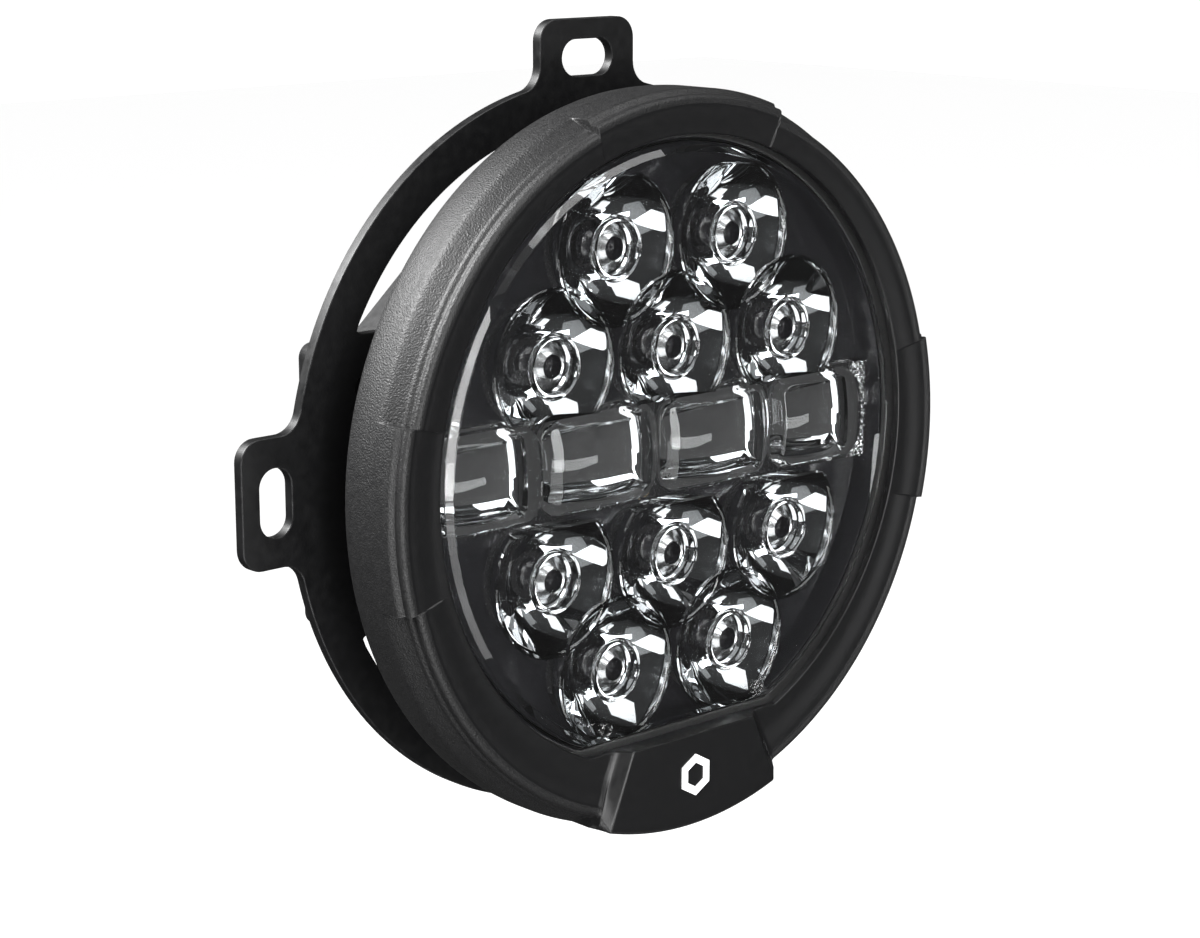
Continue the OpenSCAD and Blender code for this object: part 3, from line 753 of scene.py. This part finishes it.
def optic_array(name, node, side):
    """Five cups moulded together, cut off straight beside the bar and at the far side."""
    section, materials = cup_section()
    cups = []
    for x, z in UPPER_CUPS:
        bm = bmesh.new()
        turned(bm, section, (x, OPTIC_LIFT + side * z), 120, lambda row: materials[row])
        mesh = mesh_from(bm, "cup")
        for material in OPTIC_MATERIALS:
            mesh.materials.append(material)
        cups.append(mesh)
    whole = combined(cups[0], cups[1:], "UNION", name)
    x0, x1, z0, z1, f0, f1 = front_box(node)
    keep = block_mesh(x0 - 5, x1 + 5, z0, z1, f0 - 5, f1 + 5, "keep")
    mesh = combined(whole, [keep], "INTERSECT", name)
    piece = settle(name, mesh, OPTIC_MATERIALS, "lamp", [node], 28)
    piece.visible_shadow = False


KNURL = 3.2  # length of the knurled strip at each end of the bar
KNURL_DEPTH, KNURL_RUN = 1.1, 0.6  # height of the knurling, and the width over which it rises
BLOCK_HALF, BLOCK_CORNER = 16.0, 4.4  # half length of a block lens, and the radius of its corners
BLOCK_SIDE_FALL, BLOCK_TOP_FALL = 4.6, 2.4  # how far a block lens's front falls to its sides, and up and down
BLOCK_ROUND = 1.2  # width of the round edge of a block lens's front
BOWL_RIM, BOWL_WALL = 0.5, 6.6  # from a block lens's outline to its bowl, and the width of the bowl's wall
BLOCKS = [(max(x - BLOCK_HALF, KNURL - BAR_X), min(x + BLOCK_HALF, BAR_X - KNURL)) for x in BAR_CELLS]
BLOCK_TOP = BAR_HALF - 0.9
LED_RISE = 2.7  # height of a bowl's floor over OPTIC_BASE
STRIP = (OPTIC_FRONT - 8.5, OPTIC_FRONT - 5.5)  # back and front of the strip that carries the block lenses


def in_block(x, z):
    """How far a point is inside the nearest block lens's outline, and its place from that lens's middle."""
    corner = BLOCK_CORNER
    left, right = min(BLOCKS, key=lambda block: abs(x - (block[0] + block[1]) / 2))
    u, v = x - (left + right) / 2, z - OPTIC_LIFT
    qu, qv = abs(u) - (right - left) / 2 + corner, abs(v) - BLOCK_TOP + corner
    return corner - math.hypot(max(qu, 0), max(qv, 0)) - min(max(qu, qv), 0), u, v


def bar_front(x, z):
    """Front of the bar: barrel-shaped block lenses on the strip, and knurling on the strip's ends."""
    inside, u, v = in_block(x, z)
    fall = BLOCK_TOP_FALL * abs(v / BLOCK_TOP) ** 2.4
    crown = OPTIC_FRONT - fall - BLOCK_SIDE_FALL * abs(u / BLOCK_HALF) ** 3
    if inside > 0:
        round_over = min(1.0, inside / BLOCK_ROUND)
        return STRIP[1] + (crown - STRIP[1]) * math.sqrt(1 - (1 - round_over) ** 2)
    knurl = abs(math.sin(2.3 * x + 1.9 * z) * math.sin(2.6 * z - 1.4 * x))
    return STRIP[1] + KNURL_DEPTH * knurl * smooth((abs(x) - BAR_X + KNURL) / KNURL_RUN)


def bar_back(x, z):
    """Back of the bar: a bowl behind each block lens, with its floor just above the LED."""
    down = 1 - (1 - bowl_share(in_block(x, z)[0])) ** 1.9
    return STRIP[0] - (STRIP[0] - OPTIC_BASE - LED_RISE) * down


def bowl_share(inside):
    """How far across a bowl's wall a point is, from 0 at its rim to 1 at its floor. inside is in_block's."""
    return min(1.0, max(0.0, (inside - BOWL_RIM) / BOWL_WALL))


def bar_back_material(x, z):
    """Mirror behind the knurling and on the bowls' walls, dark on their floors and rims, or else clear."""
    share = bowl_share(in_block(x, z)[0])
    if abs(x) > BAR_X - KNURL or 0.3 < share < 0.8:
        return MIRROR
    return FLOOR if share else CLEAR


def centre_bar():
    """The clear bar as two height fields, joined round the edge."""
    x0, x1, z0, z1 = front_box("centre_optic_bar")[:4]
    columns, rows = 364, 68
    bm = bmesh.new()
    grids = []
    for height in (bar_front, bar_back):
        grid = []
        for i in range(columns + 1):
            x = x0 + (x1 - x0) * i / columns
            zs = [z0 + (z1 - z0) * j / rows for j in range(rows + 1)]
            grid.append([bm.verts.new(place(x, z, height(x, z))) for z in zs])
        grids.append(grid)
    for side, grid in enumerate(grids):
        for i in range(columns):
            for j in range(rows):
                face = bm.faces.new((grid[i][j], grid[i + 1][j], grid[i + 1][j + 1], grid[i][j + 1]))
                middle = face.calc_center_median() / MM
                face.material_index = bar_back_material(middle.x, middle.z) if side else CLEAR
    edge = [(i, 0) for i in range(columns)] + [(columns, j) for j in range(rows)]
    edge += [(i, rows) for i in range(columns, 0, -1)] + [(0, j) for j in range(rows, 0, -1)]
    for (i, j), (k, m) in zip(edge, edge[1:] + edge[:1]):
        bm.faces.new((grids[0][i][j], grids[1][i][j], grids[1][k][m], grids[0][k][m]))
    piece = settle("centre_bar", mesh_from(bm, "centre_bar"), OPTIC_MATERIALS, "lamp",
                   ["centre_optic_bar"], 50)
    piece.visible_shadow = False


# ---- CAD nodes that stay, with softened edges and their own finish ----

# The material of each of these nodes, and the width of its softened edges.
CAD_FINISH = {
    "left_bracket": (CAST, 0.5), "right_bracket": (CAST, 0.5),
    "housing": (CAST, 0.35), "rear_cover": (CAST, 0.4),
    "bracket_screws": (DARK_ZINC, 0.25), "pivot_bolts": (ZINC, 0.25), "head_washers": (ZINC, 0.12),
    "bezel_screws": (ZINC, 0.15), "board_screws": (ZINC, 0.15), "driver_screws": (ZINC, 0.15),
    "cover_screws": (ZINC, 0.2), "gland_locknut": (ZINC, 0.2),
    "friction_washers": (BRASS, 0.12), "bezel_inserts": (BRASS, 0.1), "feed_pins": (BRASS, 0.08),
    "pivot_bushes": (NYLON, 0.1), "board_header": (NYLON, 0.15),
    "lens_gasket": (RUBBER, 0.2), "cover_gasket": (RUBBER, 0.2), "gland_seal": (RUBBER, 0.2),
    "inner_trim": (TRIM, 0.2), "led_board": (BOARD_BLACK, 0.1), "driver_board": (BOARD_GREEN, 0.1),
    "led_packages": (CERAMIC, 0.1), "led_domes": (PHOSPHOR, 0.0), "thermal_pad": (PAD, 0.0),
    "inductor": (FERRITE, 0.3), "driver_chips": (FERRITE, 0.12), "capacitors": (SLEEVE, 0.4),
    "cable_gland": (GLAND, 0.3), "gland_nut": (GLAND, 0.4), "vent_plug": (GLAND, 0.3),
}


def finish_cad_nodes():
    for node, (material, edge) in CAD_FINISH.items():
        obj = frame["nodes"][node]
        for material_slot in obj.material_slots:
            material_slot.material = material
        if edge:
            weld = obj.modifiers.new("weld", "WELD")
            weld.merge_threshold = 2e-6
            bevel = obj.modifiers.new("edges", "BEVEL")
            bevel.width = edge * MM
            bevel.segments = 2
            bevel.limit_method = "ANGLE"
            bevel.angle_limit = math.radians(40)
            bevel.use_clamp_overlap = True
            bevel.harden_normals = True


# ---- Camera, light and floor, in metres of the CAD frame ----

CAMERA_AZIMUTH, CAMERA_ELEVATION = -42.71, 12.73
CAMERA_AT = (-0.38053, -0.41853, 0.12164)


def direction(azimuth_deg, elevation_deg):
    """Unit vector away from the lamp. Azimuth is to the front view's right of straight ahead of the lamp."""
    azimuth, elevation = math.radians(azimuth_deg), math.radians(elevation_deg)
    return Vector((
        math.sin(azimuth) * math.cos(elevation), -math.cos(azimuth) * math.cos(elevation), math.sin(elevation)
    ))


def camera():
    data = bpy.data.cameras.new("camera")
    data.sensor_width = 36.0
    data.lens = 80.32
    data.clip_start, data.clip_end = 0.01, 20.0
    made = bpy.data.objects.new("camera", data)
    bpy.context.scene.collection.objects.link(made)
    made.location = CAMERA_AT
    made.rotation_mode = "QUATERNION"
    made.rotation_quaternion = (-direction(CAMERA_AZIMUTH, CAMERA_ELEVATION)).to_track_quat("-Z", "Y")
    bpy.context.scene.camera = made


def soft_box(name, azimuth_deg, elevation_deg, distance, width, height, watts):
    """A softbox facing the lamp."""
    away = direction(azimuth_deg, elevation_deg)
    data = bpy.data.lights.new(name, "AREA")
    data.shape = "RECTANGLE"
    data.size, data.size_y = width, height
    data.energy = watts
    made = bpy.data.objects.new(name, data)
    bpy.context.scene.collection.objects.link(made)
    made.visible_camera = False
    made.location = away * distance
    made.rotation_mode = "QUATERNION"
    made.rotation_quaternion = (-away).to_track_quat("-Z", "Y")


def world():
    """A white backdrop for camera and diffuse rays, and a dim studio for everything the lamp mirrors."""
    dim, white = 0.06, 1.15
    made = bpy.data.worlds.new("studio")
    bpy.context.scene.world = made
    made.use_nodes = True
    tree = made.node_tree
    shade = tree.nodes["Background"]
    shade.inputs["Color"].default_value = (1, 1, 1, 1)
    path = tree.nodes.new("ShaderNodeLightPath")
    seen = tree.nodes.new("ShaderNodeMath")
    seen.operation = "ADD"
    seen.use_clamp = True
    tree.links.new(path.outputs["Is Camera Ray"], seen.inputs[0])
    tree.links.new(path.outputs["Is Diffuse Ray"], seen.inputs[1])
    level = tree.nodes.new("ShaderNodeMapRange")
    level.inputs["To Min"].default_value = dim
    level.inputs["To Max"].default_value = white
    tree.links.new(seen.outputs["Value"], level.inputs["Value"])
    tree.links.new(level.outputs["Result"], shade.inputs["Strength"])


def floor():
    bm = bmesh.new()
    half, rim, level = 9.0, 0.2, -0.80
    loops = []
    corners = ((-1, -1), (1, -1), (1, 1), (-1, 1))
    for size, drop in ((half, 0.0), (half + rim, -0.02), (half + rim, -0.06)):
        loops.append([Vector((x * size, y * size, level + drop)) for x, y in corners])
    loft(bm, loops)
    piece = bpy.data.objects.new("floor", mesh_from(bm, "floor"))
    bpy.context.scene.collection.objects.link(piece)
    made = Finish("floor_paper", (0.92, 0.92, 0.92), 0.9)
    made.bump(made.noise(40, 2.0), 0.2, 0.1)
    piece.data.materials.append(made.material)
    piece.visible_glossy = False
    piece.visible_transmission = False


mounting_plate()
bezel()
emblem()
lens()
optic_array("upper_cups", "upper_optic_array", 1)
optic_array("lower_cups", "lower_optic_array", -1)
centre_bar()
finish_cad_nodes()

# The name of each softbox, its azimuth, elevation, distance, width and height, and its watts.
soft_box("key", 24, 54, 1.60, 1.20, 0.90, 15)
soft_box("wall_light", -126, 44, 1.20, 1.00, 0.66, 54)
soft_box("shoulder_light", -22, 12, 1.30, 0.30, 1.20, 12.0)
soft_box("table_light", -38, -30, 1.20, 0.90, 0.90, 7.3)
soft_box("ceiling_light", -12, 42, 1.60, 2.30, 0.80, 3.2)
soft_box("strip_light", -5, -9, 1.60, 2.20, 0.20, 9.0)
world()
floor()
camera()
bpy.context.scene.view_settings.view_transform = "Standard"
